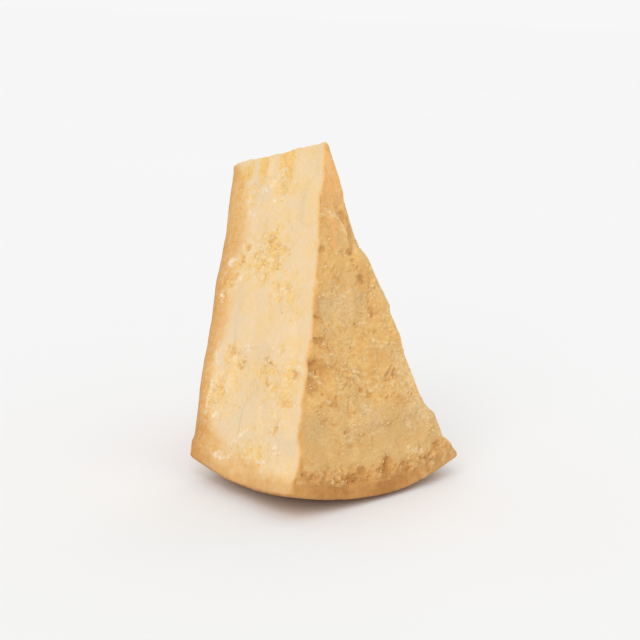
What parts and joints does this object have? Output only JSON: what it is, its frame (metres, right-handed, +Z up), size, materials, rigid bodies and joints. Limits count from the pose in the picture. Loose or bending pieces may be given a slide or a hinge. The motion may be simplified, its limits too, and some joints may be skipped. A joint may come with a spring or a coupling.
{
  "type": "parmesan cheese chunk",
  "caption": "Wedge split from an aged cheese wheel, standing on its curved heel rind, tip up, with broken sides and a thin rind.",
  "frame": {"origin": "centre of the small flat spot on the curved heel rind that the chunk rests on", "axes": "+Z up to the tip, +Y from the waist cut towards the flat rind, +X across the wedge from the near broken side to the far one"},
  "size_m": [0.1426, 0.1575, 0.2088],
  "materials": {
    "cheese": "dry, grainy broken cheese with a smooth waxy rind"
  },
  "bodies": {
    "root": {"cheese_chunk": "cheese"}
  },
  "joints": []
}
